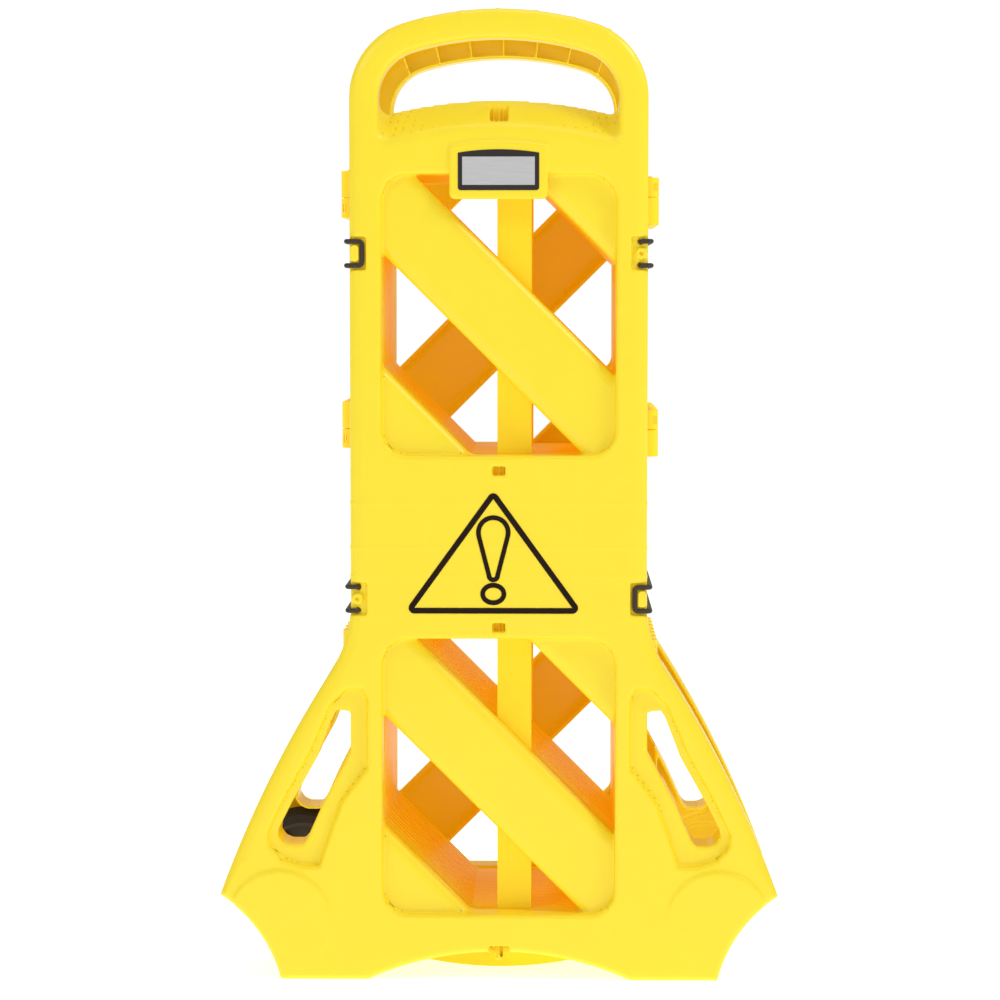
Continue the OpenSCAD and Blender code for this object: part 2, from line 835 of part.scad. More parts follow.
module wheel_cap() {
    color("silver") at_axle() translate([0, 0, wheel_y + wheel_w + 0.6]) difference() {
        union() {
            cylinder(r = axle_r + 5, h = 2);
            cylinder(r = axle_r + 2.5, h = 7.5);
        }
        translate([0, 0, -1]) cylinder(r = axle_r + axle_clear, h = axle_end - wheel_y - wheel_w + 0.5);
    }
}

// ---- Named nodes ----

module stand_front() { color("#f5e546") at_front() stand_shell(false); }
module stand_rear() { color("#f5e546") at_rear() stand_shell(true); }
module sign_front() { color("#28140a") at_front() sign(); }
module sign_rear() { color("#28140a") at_rear() sign(); }
module label_front() { color("#2a211d") at_front() label(); }
module half_link_front() { color("#f3de38") at_front() half_link(false); }
module half_link_rear() { color("#f3de38") at_rear() mirror([1, 0, 0]) half_link(true); }

stand_front();
stand_rear();
sign_front();
sign_rear();
label_front();
half_link_front();
half_link_rear();
panel(1);  // panel_01
panel(2);  // panel_02
panel(3);  // panel_03
panel(4);  // panel_04
panel(5);  // panel_05
panel(6);  // panel_06
panel(7);  // panel_07
panel(8);  // panel_08
panel(9);  // panel_09
panel(10);  // panel_10
panel(11);  // panel_11
panel(12);  // panel_12
hinge_pins(0);  // hinge_pins_00
hinge_pins(1);  // hinge_pins_01
hinge_pins(2);  // hinge_pins_02
hinge_pins(3);  // hinge_pins_03
hinge_pins(4);  // hinge_pins_04
hinge_pins(5);  // hinge_pins_05
hinge_pins(6);  // hinge_pins_06
hinge_pins(7);  // hinge_pins_07
hinge_pins(8);  // hinge_pins_08
hinge_pins(9);  // hinge_pins_09
hinge_pins(10);  // hinge_pins_10
hinge_pins(11);  // hinge_pins_11
hinge_pins(12);  // hinge_pins_12
hinge_pins(13);  // hinge_pins_13
hinge_pins(14);  // hinge_pins_14
elastic(upper_loop_z, false);  // elastic_upper_front
elastic(upper_loop_z, true);  // elastic_upper_rear
elastic(lower_loop_z, false);  // elastic_lower_front
elastic(lower_loop_z, true);  // elastic_lower_rear
wheel_tyre();
wheel_hub();
wheel_bush();
wheel_axle();
wheel_cap();
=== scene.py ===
import functools
import math

import bmesh
import bpy
import numpy as np
from mathutils import Matrix, Vector


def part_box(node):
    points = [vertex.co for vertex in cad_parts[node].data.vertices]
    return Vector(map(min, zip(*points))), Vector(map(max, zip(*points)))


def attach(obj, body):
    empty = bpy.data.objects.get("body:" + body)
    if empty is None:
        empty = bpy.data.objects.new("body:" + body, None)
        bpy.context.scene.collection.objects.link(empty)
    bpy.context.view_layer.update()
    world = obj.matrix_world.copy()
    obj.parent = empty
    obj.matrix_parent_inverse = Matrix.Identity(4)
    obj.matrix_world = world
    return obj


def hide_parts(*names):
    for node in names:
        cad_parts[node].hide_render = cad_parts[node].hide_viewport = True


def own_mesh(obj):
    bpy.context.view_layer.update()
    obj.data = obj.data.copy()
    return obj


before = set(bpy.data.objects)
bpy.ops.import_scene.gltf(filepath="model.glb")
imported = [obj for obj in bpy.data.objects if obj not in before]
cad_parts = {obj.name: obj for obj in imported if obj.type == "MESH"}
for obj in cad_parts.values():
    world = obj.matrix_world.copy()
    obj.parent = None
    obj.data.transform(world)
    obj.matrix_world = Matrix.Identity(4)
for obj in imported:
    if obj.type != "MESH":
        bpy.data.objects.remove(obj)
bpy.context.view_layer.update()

# ---- Camera and studio ----
# A long lens below chest height, a little to the right of the middle, looks slightly down at the
# folded barrier. The floor and the surround are plain white, as on a seamless paper sweep, and the
# floor gives off some light of its own, so that it stays white.
scene = bpy.context.scene
face_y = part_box("sign_front")[1].y
camera = bpy.data.objects.new("camera", bpy.data.cameras.new("camera"))
scene.collection.objects.link(camera)
scene.camera = camera
camera_away = 3.05
camera.data.lens = 105.7
camera.data.clip_end = 60
camera.location = (0.0625, face_y - camera_away, 0.722)
aim = Vector((0.0015, face_y, 0.508)) - camera.location
camera.rotation_euler = aim.to_track_quat("-Z", "Y").to_euler()
scene.view_settings.view_transform = "Standard"
scene.view_settings.look = "None"

floor = bpy.data.objects.new("floor", bpy.data.meshes.new("floor"))
scene.collection.objects.link(floor)
floor_half = 30
floor.data.from_pydata([(sx * floor_half, sy * floor_half, 0)
                        for sx, sy in ((-1, -1), (1, -1), (1, 1), (-1, 1))], [], [(0, 1, 2, 3)])
paper = bpy.data.materials.new("white_paper_sweep")
paper.use_nodes = True
sheet = paper.node_tree.nodes["Principled BSDF"]
sheet.inputs["Base Color"].default_value = (0.93, 0.93, 0.92, 1)
sheet.inputs["Roughness"].default_value = 0.9
sheet.inputs["Specular IOR Level"].default_value = 0.1
sheet.inputs["Emission Color"].default_value = (1, 1, 1, 1)
sheet.inputs["Emission Strength"].default_value = 0.66
floor.data.materials.append(paper)

world = bpy.data.worlds.new("studio")
scene.world = world
world.use_nodes = True
sky = world.node_tree
glow = sky.nodes["Background"]
glow.inputs["Color"].default_value = (1, 0.99, 0.975, 1)
glow.inputs["Strength"].default_value = 0.44
seen = sky.nodes.new("ShaderNodeBackground")
seen.inputs["Color"].default_value = (1, 1, 1, 1)
seen.inputs["Strength"].default_value = 1.05
path = sky.nodes.new("ShaderNodeLightPath")
either = sky.nodes.new("ShaderNodeMixShader")
sky.links.new(path.outputs["Is Camera Ray"], either.inputs[0])
sky.links.new(glow.outputs[0], either.inputs[1])
sky.links.new(seen.outputs[0], either.inputs[2])
sky.links.new(either.outputs[0], sky.nodes["World Output"].inputs["Surface"])

target = Vector((0, 0, 0.5))
for name, place, size, watts in (
    ("softbox_left", (-2.4, -3.0, 2.6), 1.2, 18),
    ("softbox_right", (2.3, -1.3, 2.9), 0.8, 30),
    ("softbox_top", (0.2, -0.4, 3.4), 1.6, 14),
    ("softbox_back", (-1.2, 3.2, 2.2), 1.8, 12),
):
    lamp = bpy.data.objects.new(name, bpy.data.lights.new(name, "AREA"))
    lamp.data.shape = "DISK"
    lamp.data.size = size
    lamp.data.energy = watts
    lamp.location = place
    lamp.rotation_euler = (target - lamp.location).to_track_quat("-Z", "Y").to_euler()
    scene.collection.objects.link(lamp)


# ---- Yellow moulded plastic ----
# The yellow pieces are taken to be injection-moulded polypropylene, coloured right through, with a
# very fine grain and faint cloudy differences. Their hollows look orange, as if thin walls let
# light through. A weak orange glow, painted in as emission on every face and set for this light,
# stands in for that.
def shader_group(name, sockets):
    tree = bpy.data.node_groups.new(name, "ShaderNodeTree")
    for label, in_out, kind, value in sockets:
        made = tree.interface.new_socket(label, in_out=in_out, socket_type="NodeSocket" + kind)
        if value is not None:
            made.default_value = value
    return tree, tree.nodes.new("NodeGroupInput"), tree.nodes.new("NodeGroupOutput")


def node(tree, kind, settings=None, **links):
    """A shader node: its settings by attribute, and its inputs by name or number as _0, _1."""
    made = tree.nodes.new("ShaderNode" + kind)
    for key, value in (settings or {}).items():
        setattr(made, key, value)
    for key, value in links.items():
        socket = made.inputs[int(key[1:])] if key[0] == "_" else made.inputs[key.replace("_", " ")]
        if isinstance(value, bpy.types.NodeSocket):
            tree.links.new(value, socket)
        else:
            socket.default_value = value
    return made


def calc(tree, operation, *values):
    """One step of arithmetic in a shader, and the number it gives."""
    inputs = {f"_{number}": value for number, value in enumerate(values)}
    return node(tree, "Math", {"operation": operation}, **inputs).outputs[0]


grain, g_in, g_out = shader_group("moulded_grain", [
    ("Color", "INPUT", "Color", (1, 1, 1, 1)),
    ("Cloud", "INPUT", "Float", 0.03),
    ("Roughness", "INPUT", "Float", 0.4),
    ("Grain", "INPUT", "Float", 0.05),
    ("Color", "OUTPUT", "Color", None),
    ("Roughness", "OUTPUT", "Float", None),
    ("Normal", "OUTPUT", "Vector", None),
])
where = node(grain, "TexCoord").outputs["Object"]
cloud = node(grain, "TexNoise", Vector=where, Scale=9.0, Detail=3.0, Roughness=0.55)
streak = node(grain, "TexNoise", Vector=where, Scale=46.0, Detail=2.0)
drift = calc(grain, "ADD", cloud.outputs["Fac"], streak.outputs["Fac"])
drift = calc(grain, "SUBTRACT", drift, 1.0)
drift = calc(grain, "MULTIPLY_ADD", drift, g_in.outputs["Cloud"], 1.0)
tint = node(grain, "VectorMath", {"operation": "SCALE"}, Vector=g_in.outputs["Color"], Scale=drift)
fine = node(grain, "TexNoise", Vector=where, Scale=1500.0, Detail=2.0)
pebble = node(grain, "TexVoronoi", Vector=where, Scale=900.0)
height = calc(grain, "ADD", fine.outputs["Fac"], pebble.outputs["Distance"])
bump = node(grain, "Bump", Strength=g_in.outputs["Grain"], Distance=0.0002, Height=height)
matt = calc(grain, "MULTIPLY_ADD", streak.outputs["Fac"], 0.08, g_in.outputs["Roughness"])
grain.links.new(tint.outputs[0], g_out.inputs["Color"])
grain.links.new(matt, g_out.inputs["Roughness"])
grain.links.new(bump.outputs[0], g_out.inputs["Normal"])


def moulded(name, color, roughness=0.30, cloud=0.035, grain_depth=0.08, specular=0.42, painted_glow=0.0):
    """A moulded finish. Its last argument is the strength of a weak orange emission, a painted
    glow.
    """
    made = bpy.data.materials.new(name)
    made.use_nodes = True
    tree = made.node_tree
    shader = tree.nodes["Principled BSDF"]
    surface = node(tree, "Group", {"node_tree": grain}, Color=(*color, 1), Cloud=cloud,
                   Roughness=roughness, Grain=grain_depth)
    tree.links.new(surface.outputs["Color"], shader.inputs["Base Color"])
    tree.links.new(surface.outputs["Roughness"], shader.inputs["Roughness"])
    tree.links.new(surface.outputs["Normal"], shader.inputs["Normal"])
    shader.inputs["Specular IOR Level"].default_value = specular
    # Painted glow: a weak orange emission on every face, standing in for light passing through the
    # walls.
    shader.inputs["Emission Color"].default_value = (1.0, 0.36, 0.0, 1)
    shader.inputs["Emission Strength"].default_value = painted_glow
    return made


# Each yellow gets its own strength of painted orange glow.
stand_yellow = moulded("stand_yellow", (0.84, 0.72, 0.028), painted_glow=0.14)
panel_yellow = moulded("panel_yellow", (0.92, 0.73, 0.02), roughness=0.4, cloud=0.05, specular=0.25,
                       painted_glow=0.17)
pin_yellow = moulded("pin_yellow", (0.9, 0.6, 0.015), roughness=0.3, painted_glow=0.15)


def dress(piece, material, body, slot, *nodes):
    """Gives a finished piece its material and its body, and hides the CAD nodes it stands for. Its
    slot is not used.
    """
    piece.data.materials.clear()
    piece.data.materials.append(material)
    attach(piece, body)
    if nodes:
        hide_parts(*nodes)


# ---- End stands ----
# Each stand is one big hollow moulding: a front skin with deep walls behind it, open at the back,
# every outer edge rolled over. Depth is measured back from the face, in metres. A shape is a field
# that is negative inside it, so shapes meet and join with a true radius, as a mould tool is cut.
def meet(a, b, r):
    """What lies in both shapes, with its outer corner rounded to radius r."""
    corner = np.hypot(np.maximum(a + r, 0), np.maximum(b + r, 0))
    return np.minimum(np.maximum(a, b), -r) + corner


def join(a, b, r):
    """What lies in either shape, with the inner corner between them filled to radius r."""
    corner = np.hypot(np.maximum(r - a, 0), np.maximum(r - b, 0))
    return np.maximum(np.minimum(a, b), r) - corner


def both(*shapes):
    """What lies in every one of the shapes, with sharp corners."""
    return functools.reduce(np.maximum, shapes)


def slab(a, half):
    """A slab of that half thickness, from the distance a from its middle."""
    return np.abs(a) - half


def rounded(a, b, half_a, half_b, r):
    """A rectangle with round corners, from the distances a and b from its middle."""
    qa = np.abs(a) - (half_a - r)
    qb = np.abs(b) - (half_b - r)
    return np.hypot(np.maximum(qa, 0), np.maximum(qb, 0)) + np.minimum(np.maximum(qa, qb), 0) - r


def arc(centre, start, end, steps):
    """Points along the shorter arc about centre from start up to, but not including, end."""
    a = math.atan2(start[1] - centre[1], start[0] - centre[0])
    b = math.atan2(end[1] - centre[1], end[0] - centre[0])
    turn = (b - a + math.pi) % (2 * math.pi) - math.pi
    r = math.hypot(start[0] - centre[0], start[1] - centre[1])
    return [(centre[0] + r * math.cos(a + turn * i / steps),
             centre[1] + r * math.sin(a + turn * i / steps)) for i in range(steps)]


def distance(outline, x, z):
    """Distance from each point to a closed outline, negative inside it."""
    x, z = np.broadcast_arrays(x, z)
    nearest = np.full(x.shape, np.inf, np.float32)
    inside = np.zeros(x.shape, bool)
    for (ax, az), (bx, bz) in zip(outline, outline[1:] + outline[:1]):
        ux, uz = bx - ax, bz - az
        px, pz = x - ax, z - az
        t = np.clip((px * ux + pz * uz) / (ux * ux + uz * uz), 0, 1)
        nearest = np.minimum(nearest, (px - t * ux) ** 2 + (pz - t * uz) ** 2)
        if az != bz:
            inside ^= ((az > z) != (bz > z)) & (px < pz * (ux / uz))
    return (np.where(inside, -1, 1) * np.sqrt(nearest)).astype(np.float32)


def skin(name, field, low, step):
    """A closed mesh on the zero level of a field that was sampled on a grid, flats merged."""
    inside = field < 0
    count = sum(inside[i:i - 1 or None, j:j - 1 or None, k:k - 1 or None].astype(np.uint8)
                for i in (0, 1) for j in (0, 1) for k in (0, 1))
    mixed = (count > 0) & (count < 8)
    cells = np.argwhere(mixed)
    index = np.full(mixed.shape, -1, np.int32)
    index[mixed] = np.arange(len(cells))
    total = np.zeros((len(cells), 3))
    number = np.zeros(len(cells))
    corners = [(i, j, k) for i in (0, 1) for j in (0, 1) for k in (0, 1)]
    for a in corners:
        for b in corners:
            if sum(b) != sum(a) + 1 or any(q < p for p, q in zip(a, b)):
                continue
            fa = field[tuple((cells + a).T)]
            fb = field[tuple((cells + b).T)]
            cut = (fa < 0) != (fb < 0)
            t = fa[cut] / (fa[cut] - fb[cut])
            total[cut] += np.array(a) + t[:, None] * (np.array(b) - np.array(a))
            number[cut] += 1
    points = np.array(low) + step * (cells + total / number[:, None])
    quads = []
    for axis in range(3):
        u, v = (axis + 1) % 3, (axis + 2) % 3
        here = [slice(1, -1)] * 3
        there = [slice(1, -1)] * 3
        here[axis], there[axis] = slice(0, -1), slice(1, None)
        crossing = inside[tuple(here)] != inside[tuple(there)]
        at = np.argwhere(crossing) + [0 if i == axis else 1 for i in range(3)]
        out = inside[tuple(at.T)]
        ring = []
        for du, dv in ((-1, -1), (0, -1), (0, 0), (-1, 0)):
            cell = at.copy()
            cell[:, u] += du
            cell[:, v] += dv
            ring.append(index[tuple(cell.T)])
        ring = np.stack(ring, 1)
        ring[~out] = ring[~out][:, ::-1]
        quads.append(ring)
    quads = np.concatenate(quads)
    mesh = bpy.data.meshes.new(name)
    mesh.vertices.add(len(points))
    mesh.vertices.foreach_set("co", points.astype(np.float32).ravel())
    mesh.loops.add(quads.size)
    mesh.loops.foreach_set("vertex_index", quads.ravel())
    mesh.polygons.add(len(quads))
    mesh.polygons.foreach_set("loop_start", np.arange(0, quads.size, 4))
    mesh.update(calc_edges=True)
    mesh.validate()
    piece = bpy.data.objects.new(name, mesh)
    scene.collection.objects.link(piece)
    merge = piece.modifiers.new("merge_flats", "DECIMATE")
    merge.decimate_type = "DISSOLVE"
    merge.angle_limit = math.radians(0.2)
    split = piece.modifiers.new("triangles", "TRIANGULATE")
    split.quad_method = "BEAUTY"
    plain(piece)
    return piece


def plain(piece):
    """Applies a piece's modifiers and shades it smooth, then gives it a live modifier that evens
    its normals by face area.
    """
    bpy.context.view_layer.update()
    done = bpy.data.meshes.new_from_object(
        piece.evaluated_get(bpy.context.evaluated_depsgraph_get()))
    done.name = piece.name
    piece.modifiers.clear()
    piece.data = done
    done.shade_smooth()
    even = piece.modifiers.new("even_normals", "WEIGHTED_NORMAL")
    even.mode = "FACE_AREA"
    even.weight = 60


half_w = 0.155
stand_t = 0.034
leg_t = 0.060
wall = 0.003
fill_r = 0.001
cut_r = 0.0008
foot_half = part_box("stand_front")[1].x
crown_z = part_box("stand_front")[1].z
shoulder_drop = 0.091
shoulder = (0.075, crown_z - shoulder_drop)
shoulder_r = 0.080
crown_r = ((shoulder[0] ** 2 + shoulder_drop ** 2 - shoulder_r ** 2)
           / (2 * (shoulder_drop - shoulder_r)))
crown_c = (0.0, crown_z - crown_r)
toe = (foot_half, 0.090)
foot = (foot_half - 0.0635, 0.0)
toe_r = 0.150
arc_steps, toe_steps = 14, 12
knee = (half_w + 0.022, 0.326)
knee_r = 0.132
flare_r = 1.190


def centre_of(p, q, r):
    """Centre of the arc of radius r from p to q, on the left of the way from p to q."""
    dx, dz = q[0] - p[0], q[1] - p[1]
    chord = math.hypot(dx, dz)
    rise = math.sqrt(r * r - chord * chord / 4)
    return ((p[0] + q[0]) / 2 - dz / chord * rise, (p[1] + q[1]) / 2 + dx / chord * rise)


def along(p, q, length):
    """The point at that length from p on the way to q."""
    share = length / math.dist(p, q)
    return (p[0] + (q[0] - p[0]) * share, p[1] + (q[1] - p[1]) * share)


flare_c = centre_of(toe, knee, flare_r)
knee_c = (half_w + knee_r, flare_c[1] + math.sqrt(
    (flare_r + knee_r) ** 2 - (half_w + knee_r - flare_c[0]) ** 2))
bend = along(flare_c, knee_c, flare_r)
crown_end = along(crown_c, shoulder, crown_r)
arch_half, arch_rise = 0.138, 0.030
arch_r = (arch_half ** 2 + arch_rise ** 2) / (2 * arch_rise)
right_side = (
    arc(crown_c, (0, crown_z), crown_end, arc_steps)
    + arc(shoulder, crown_end, (half_w, shoulder[1]), arc_steps)
    + [(half_w, shoulder[1])]
    + arc(knee_c, (half_w, knee_c[1]), bend, arc_steps)
    + arc(flare_c, bend, toe, arc_steps)
    + arc(centre_of(toe, foot, toe_r), toe, foot, toe_steps)
    + [foot]
    + arc((0, arch_rise - arch_r), (arch_half, 0), (0, arch_rise), arc_steps)
)
left_side = [(-x, z) for x, z in right_side[:0:-1] if x > 0]
outline = right_side + [(0, arch_rise)] + left_side

# Face: two sunk windows with a slanted brace each, a scooped window in each leg, round foot bosses
window_z = (0.216, 0.700)
window_w, window_h, window_r = 0.244, 0.292, 0.028
gap_mid, gap_half = 0.08225, 0.04175
brace_sunk, brace_round, brace_shoulder = 0.011, 0.008, 0.6
brace_overlap = 0.010
rim_r, brace_fill_r = 0.004, 0.003
scoop_deep, scoop_r = 0.009, 0.004
leg_window_r = 0.002
leg_window = [(0.156, 0.284), (0.170, 0.286), (0.175, 0.278), (0.191, 0.236), (0.219, 0.186),
              (0.232, 0.160), (0.233, 0.152), (0.228, 0.145), (0.221, 0.142), (0.208, 0.142),
              (0.203, 0.147), (0.186, 0.185), (0.156, 0.242)]
leg_scoop = [(0.138, 0.300), (0.144, 0.310), (0.159, 0.309), (0.177, 0.292), (0.197, 0.244),
             (0.227, 0.190), (0.243, 0.156), (0.242, 0.143), (0.229, 0.128), (0.207, 0.121),
             (0.189, 0.121), (0.183, 0.140), (0.165, 0.190), (0.138, 0.226)]
foot_boss = (0.231, 0.062)
boss_r, boss_proud, boss_tilt, boss_edge_r = 0.055, 0.0014, 0.0244, 0.002


def face_of(x, y, z, edge):
    side = np.abs(x)
    front = -y + 0 * edge
    for at in window_z:
        window = rounded(x, z - at, window_w / 2, window_h / 2, window_r)
        slant = (x + z - at) * math.sqrt(0.5)
        gap = slab(np.abs(slant) - gap_mid, gap_half)
        brace = meet(brace_sunk - y, -gap * brace_shoulder, brace_round)
        front = join(meet(front, -window, rim_r), both(brace, window - brace_overlap),
                     brace_fill_r)
    scoop = distance(leg_scoop, side, z)
    front = meet(front, join(-scoop, scoop_deep - y, scoop_r), scoop_r)
    front = meet(front, -distance(leg_window, side, z), leg_window_r)
    boss = meet(np.hypot(side - foot_boss[0], z - foot_boss[1]) - boss_r,
                -(y + boss_proud + boss_tilt * (z - foot_boss[1])), boss_edge_r)
    return np.minimum(front, boss)


# Rolled outer edge: broad on the upright and the legs, tight from the roll's end down to the toes
roll_r = 0.007
roll_share = 0.42
roll_top, roll_fade = 0.130, 0.030

# Grip opening, with the beam below it sloping down towards the front
beam_r = 0.478
beam_fall, beam_even = 0.031, 0.74
handle_w = 0.030
grip_corner_r, grip_edge_r = 0.012, 0.005
grip_lowest = 0.85

# Pockets for the elastic loops, cut in from both edges
loop_z = (0.764, 0.404)
pocket_from, pocket_half_h, pocket_deep, pocket_edge_r = 0.1379, 0.0171, 0.0062, 0.0012


def body_and_hollow(x, y, z, edge, front):
    """The stand as if solid, and the hollow that leaves one wall's thickness behind its face."""
    ease = roll_share + (1 - roll_share) * np.clip((roll_top - z) / roll_fade, 0, 1)
    body = meet(edge * ease, front, roll_r)
    hollow = meet((edge + wall) * ease, front + wall, roll_r)

    from_beam = np.hypot(x, z - (shoulder[1] - beam_r))
    slope = beam_r - beam_fall * (1 - np.clip(y / stand_t, 0, 1))
    grip = meet(edge + handle_w, (slope - from_beam) * beam_even, grip_corner_r)
    grip = both(grip, grip_lowest - z)
    body = meet(body, -grip, grip_edge_r)
    hollow = meet(hollow, wall - grip, grip_edge_r)

    for at in loop_z:
        pocket = both(pocket_from - np.abs(x), slab(z - at, pocket_half_h), y - pocket_deep)
        body = meet(body, -pocket, pocket_edge_r)
        hollow = both(hollow, wall - pocket)
    return body, hollow


# Open back: the leg boxes are deeper than the upright, and ribs stand behind the face and handle
leg_from, leg_top = 0.1715, 0.386
leg_wall_x, leg_wall_top = 0.173, 0.206
rib_half = 0.0012
upright_rib_x = (-0.080, -0.040, 0.040, 0.080)
upright_rib_mid, upright_rib_half_h, upright_rib_deep = 0.458, 0.092, 0.026
cross_rib_z, cross_rib_deep = (0.428, 0.458, 0.504), 0.022
spoke_pitch, spoke_sweep = math.radians(6.6), 0.44
spoke_lowest, spoke_deep = 0.935, 0.028


def ribbed_back(x, y, z, body, hollow):
    side = np.abs(x)
    leg = both(y - leg_t, leg_from - side, z - leg_top)
    ribs = both(slab(side - leg_wall_x, wall / 2), z - leg_wall_top)
    for at in upright_rib_x:
        ribs = np.minimum(ribs, both(slab(x - at, rib_half), y - upright_rib_deep,
                                     slab(z - upright_rib_mid, upright_rib_half_h)))
    for at in cross_rib_z:
        ribs = np.minimum(ribs, both(slab(z - at, rib_half), y - cross_rib_deep))
    sweep = np.arctan2(x, z - crown_c[1])
    spoke = np.abs((sweep / spoke_pitch + 0.5) % 1 - 0.5) * spoke_pitch * crown_r
    ribs = np.minimum(ribs, both(spoke - rib_half, spoke_lowest - z, y - spoke_deep,
                                 slab(sweep, spoke_sweep)))
    shell = join(both(body, -hollow), both(ribs, body), fill_r)
    return meet(shell, np.minimum(y - stand_t, leg), cut_r)


# Hinge lugs at the middle of the back, and the clip windows that open in front of them. The top
# window is taller and reaches up into the beam.
hinge_z = (0.030, 0.374, 0.538, shoulder[1] - 0.017)
clip_w = (0.022, 0.0134, 0.0134, 0.019)
clip_h = (0.014, 0.0096, 0.0096, 0.015)
clip_deep = (0.015, 0.015, 0.015, 0.027)
clip_lift = (0, 0, 0, 0.010)
pin_y, pin_hole_r = 0.042, 0.0031
lug_r, lug_half_h = 0.0072, 0.010
stem_half_w, stem_y, stem_half_y = 0.0032, 0.026, 0.016
block_margin, block_back = 0.003, 0.004
clip_corner_r = 0.001
clip_rib_pitch, clip_rib_half, clip_rib_half_y = 0.005, 0.0008, 0.004
clip_rib_over = 0.001


def add_lugs(x, y, z, body, shell):
    for at, w, h, deep, lift in zip(hinge_z, clip_w, clip_h, clip_deep, clip_lift):
        lug = both(np.hypot(x, y - pin_y) - lug_r, slab(z - at, lug_half_h))
        stem = both(slab(x, stem_half_w), slab(y - stem_y, stem_half_y),
                    slab(z - at, lug_half_h))
        block = both(rounded(x, z - at, w / 2 + block_margin, lug_half_h, clip_corner_r),
                     y - deep - block_back, body, -y)
        shell = join(shell, np.minimum(np.minimum(lug, stem), block), fill_r)
        hole = rounded(x, z - at - lift, w / 2, h / 2 + lift, clip_corner_r)
        shell = meet(shell, -both(hole, y - deep), cut_r)
        rib = slab((x + clip_rib_pitch / 2) % clip_rib_pitch - clip_rib_pitch / 2, clip_rib_half)
        ribs = both(rib, slab(x, w / 2) - clip_rib_over, slab(z - at, h / 2),
                    slab(y - deep + clip_rib_half_y, clip_rib_half_y))
        shell = np.minimum(shell, ribs)
        shell = both(shell, pin_hole_r - np.hypot(x, y - pin_y))
    return shell


# Raised plate for the label, its top edge a shallow arc, on the stand without the wheel only
plate_down = 0.075
plate_half_w, plate_half_h, plate_corner_r = 0.051, 0.030, 0.006
plate_arc_r, plate_arc_down = 0.260, 0.230
plate_proud, plate_edge_r = 0.003, 0.0015


def add_plate(x, y, z, shell):
    up = z - shoulder[1] + plate_down
    plate = both(rounded(x, up, plate_half_w, plate_half_h, plate_corner_r),
                 np.hypot(x, up + plate_arc_down) - plate_arc_r)
    return join(shell, meet(plate, slab(y, plate_proud), plate_edge_r), fill_r)


# Each pocket has a hook tab on one edge of the stand. On the other edge it has a hollow knob and
# the two holes that the elastic is threaded through.
hook_x, hook_y = 0.1498, 0.0045
hook_half_w, hook_half_h, hook_corner_r, hook_half_y = 0.0046, 0.0087, 0.003, 0.0042
knob_x, knob_y, knob_r, knob_bore_r, knob_half_y = 0.148, 0.004, 0.006, 0.0022, 0.0035
knob_fill_r = 0.0006
anchor_x, anchor_rise, anchor_r, anchor_deep = 0.147, 0.0125, 0.003, 0.030


def add_hooks(x, y, z, shell):
    for at, hook_side in zip(loop_z, (-1, 1)):
        hook = both(rounded(hook_side * x - hook_x, z - at, hook_half_w, hook_half_h,
                            hook_corner_r), slab(y - hook_y, hook_half_y))
        shell = join(shell, hook, fill_r)
        r = np.hypot(-hook_side * x - knob_x, z - at)
        knob = both(r - knob_r, knob_bore_r - r, slab(y - knob_y, knob_half_y))
        shell = join(shell, knob, knob_fill_r)
        for arm in (-anchor_rise, anchor_rise):
            hole = np.hypot(-hook_side * x - anchor_x, z - at - arm) - anchor_r
            shell = both(shell, -both(hole, y - anchor_deep))
    return shell


# Room for the wheel, and the boss that its axle is pressed into
axle = (0.227, 0.070)
axle_boss_r, axle_boss_y, axle_boss_half_y = 0.012, 0.008, 0.007
axle_hole_r, axle_hole_from = 0.0061, 0.0015
wheel_room_r, wheel_room_y = 0.068, 0.013


def add_wheel_room(x, y, z, shell):
    r = np.hypot(x - axle[0], z - axle[1])
    boss = both(r - axle_boss_r, slab(y - axle_boss_y, axle_boss_half_y))
    shell = both(shell, -both(r - wheel_room_r, wheel_room_y - y, axle_boss_r - r))
    return both(join(shell, boss, fill_r), -both(r - axle_hole_r, axle_hole_from - y))


step = 0.002
low = (-foot_half - 0.0056, -0.0077, -0.0057)
grid_size = (301, 37, 514)


def stand(name, has_wheel):
    """One stand's mesh, from its field sampled on a grid that starts at low."""
    x, y, z = (start + step * np.arange(size, dtype=np.float32)
               for start, size in zip(low, grid_size))
    x, y, z = x.reshape(-1, 1, 1), y.reshape(1, -1, 1), z.reshape(1, 1, -1)
    edge = distance(outline, x, z)
    body, hollow = body_and_hollow(x, y, z, edge, face_of(x, y, z, edge))
    shell = add_lugs(x, y, z, body, ribbed_back(x, y, z, body, hollow))
    if not has_wheel:
        shell = add_plate(x, y, z, shell)
    shell = add_hooks(x, y, z, shell)
    if has_wheel:
        shell = add_wheel_room(x, y, z, shell)
    made = skin(name, shell.astype(np.float32), low, step)
    made.data.transform(Matrix.Translation((0, face_y, 0)))
    return made


for end, turned in (("front", False), ("rear", True)):
    made = stand("stand_shell_" + end, turned)
    if turned:
        made.data.transform(Matrix.Rotation(math.pi, 4, "Z"))
    dress(made, stand_yellow, "stand_" + end, "stand_plastic", "stand_" + end)


# ---- Panels and half links ----
# The twelve full panels and the two half links are thin open-backed mouldings of the same
# plastic. Their rims are narrow, with the small radius that a mould needs to let them go.
def eased(name, source, radius):
    """A copy of a CAD node's shape with its sharp edges rounded to a small radius."""
    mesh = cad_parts[source].data.copy()
    mesh.name = name
    work = bmesh.new()
    work.from_mesh(mesh)
    bmesh.ops.remove_doubles(work, verts=work.verts, dist=0.00001)
    bmesh.ops.dissolve_limit(work, angle_limit=math.radians(0.5), verts=work.verts,
                             edges=work.edges)
    work.to_mesh(mesh)
    work.free()
    piece = bpy.data.objects.new(name, mesh)
    scene.collection.objects.link(piece)
    ease = piece.modifiers.new("ease", "BEVEL")
    ease.width = radius
    ease.segments = 2
    ease.limit_method = "ANGLE"
    ease.angle_limit = math.radians(40)
    piece.modifiers.new("triangles", "TRIANGULATE")
    plain(piece)
    return piece


